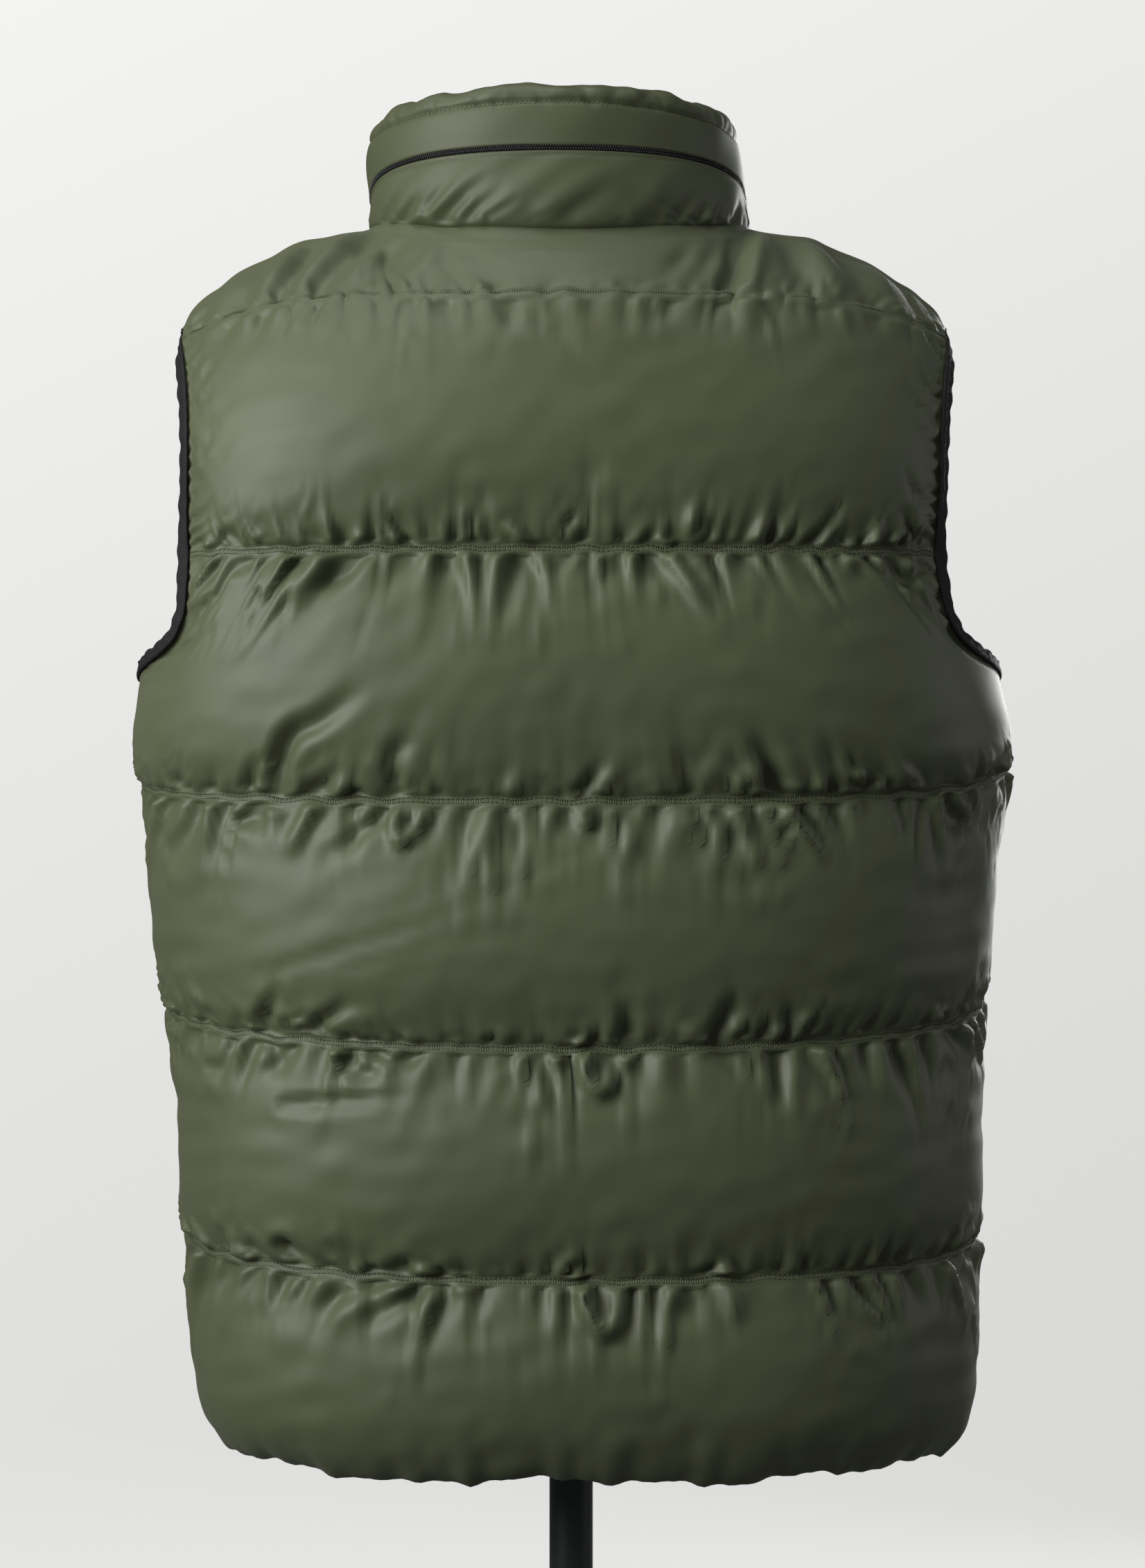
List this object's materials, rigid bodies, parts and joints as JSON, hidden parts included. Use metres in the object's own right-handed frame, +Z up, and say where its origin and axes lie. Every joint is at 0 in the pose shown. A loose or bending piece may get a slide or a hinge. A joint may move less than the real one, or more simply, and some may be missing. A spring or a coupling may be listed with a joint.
{
  "type": "sleeveless down gilet on a limbless dress form with a pole stand",
  "caption": "Quilted sleeveless down gilet with a stand collar, shown on a limbless dress form that stands on a pole and a round base.",
  "frame": {"origin": "on the floor, under the centre of the pole", "axes": "+Z up, -Y towards the garment's front (the zip side), +X towards the wearer's left"},
  "size_m": [0.5063, 0.38, 1.3005],
  "materials": {
    "down_cloth": "satin woven nylon",
    "collar_cloth": "satin woven nylon",
    "binding_tape": "matt ribbed tape",
    "zip_tape": "matt woven tape",
    "zip_teeth": "satin moulded teeth",
    "zip_metal": "satin black",
    "form_jersey": "matt jersey",
    "cap_wood": "satin",
    "stand_metal": "semi-matt black"
  },
  "bodies": {
    "gilet_on_form": {"back_panel": "down_cloth", "front_left": "down_cloth", "front_right": "down_cloth", "collar_stand": "collar_cloth", "collar_band": "collar_cloth", "hood_zip": "zip_tape", "armhole_binding_left": "binding_tape", "armhole_binding_right": "binding_tape", "zip_tape_left": "zip_tape", "zip_tape_right": "zip_tape", "zip_chain": "zip_teeth", "zip_slider": "zip_metal", "form_torso": "form_jersey", "neck_cap": "cap_wood", "pole_flange": "stand_metal", "pole": "stand_metal", "base_plate": "stand_metal"},
    "puller": {"zip_pull": "zip_metal"}
  },
  "joints": [
    {"name": "pull_swing", "type": "hinge", "parent": "gilet_on_form", "child": "puller", "pos_m": [0.00652, -0.07811, 1.22354], "axis": [-1, 0, 0], "range_deg": [0, 150]}
  ]
}
